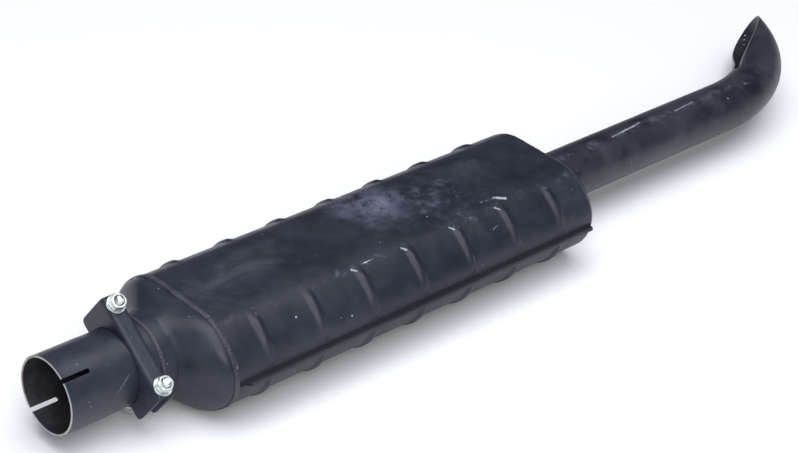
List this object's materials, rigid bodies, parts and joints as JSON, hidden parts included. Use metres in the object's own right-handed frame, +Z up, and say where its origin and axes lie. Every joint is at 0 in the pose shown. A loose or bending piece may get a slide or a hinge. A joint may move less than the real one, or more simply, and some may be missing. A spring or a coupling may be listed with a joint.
{
  "type": "exhaust muffler",
  "caption": "Oval pressed-shell exhaust silencer with ribs, slotted round inlet with a U-bolt clamp, and a straight outlet pipe with a bent slash-cut end.",
  "frame": {"origin": "bottom centre of the bounding box", "axes": "+X along the pipe axis from the inlet mouth to the outlet, +Z up, the body's wide oval axis along Y"},
  "size_m": [1.0874, 0.2062, 0.1159],
  "materials": {
    "shell_paint": "satin black",
    "weld_paint": "rough black",
    "pipe_paint": "satin black",
    "clamp_paint": "satin black",
    "inner_steel": "mill",
    "zinc": "zinc plated"
  },
  "bodies": {
    "muffler": {"upper_shell": "shell_paint", "lower_shell": "shell_paint", "front_cone": "shell_paint", "rear_cap": "shell_paint", "cone_weld": "weld_paint", "cap_weld": "weld_paint", "inlet_weld": "weld_paint", "tail_weld": "weld_paint", "inlet_pipe": "pipe_paint", "tail_pipe": "pipe_paint", "inlet_core_tube": "inner_steel", "outlet_core_tube": "inner_steel", "baffle_front": "inner_steel", "baffle_middle": "inner_steel", "baffle_rear": "inner_steel"},
    "bolt": {"u_bolt": "zinc"},
    "saddle": {"clamp_saddle": "clamp_paint", "washer_upper": "zinc", "washer_lower": "zinc"},
    "nut_a": {"nut_upper": "zinc"},
    "nut_b": {"nut_lower": "zinc"}
  },
  "joints": [
    {"name": "clamp_slide", "type": "slide", "parent": "muffler", "child": "bolt", "axis": [1, 0, 0], "range_m": [-0.058, 0.005]},
    {"name": "saddle_lift", "type": "slide", "parent": "bolt", "child": "saddle", "axis": [0, -0.5664, 0.8241], "range_m": [0, 0.00374]},
    {"name": "nut_a_turn", "type": "hinge", "parent": "saddle", "child": "nut_a", "pos_m": [-0.46811, -0.01086, 0.10784], "axis": [0, -0.5664, 0.8241], "range_deg": [0, 1080]},
    {"name": "nut_b_turn", "type": "hinge", "parent": "saddle", "child": "nut_b", "pos_m": [-0.46811, -0.07572, 0.06326], "axis": [0, -0.5664, 0.8241], "range_deg": [0, 1080]}
  ],
  "couplings": [
    {"joint": "nut_a_turn", "follows": "saddle_lift", "rad_per_m": 5026.5},
    {"joint": "nut_b_turn", "follows": "saddle_lift", "rad_per_m": 5026.5}
  ]
}
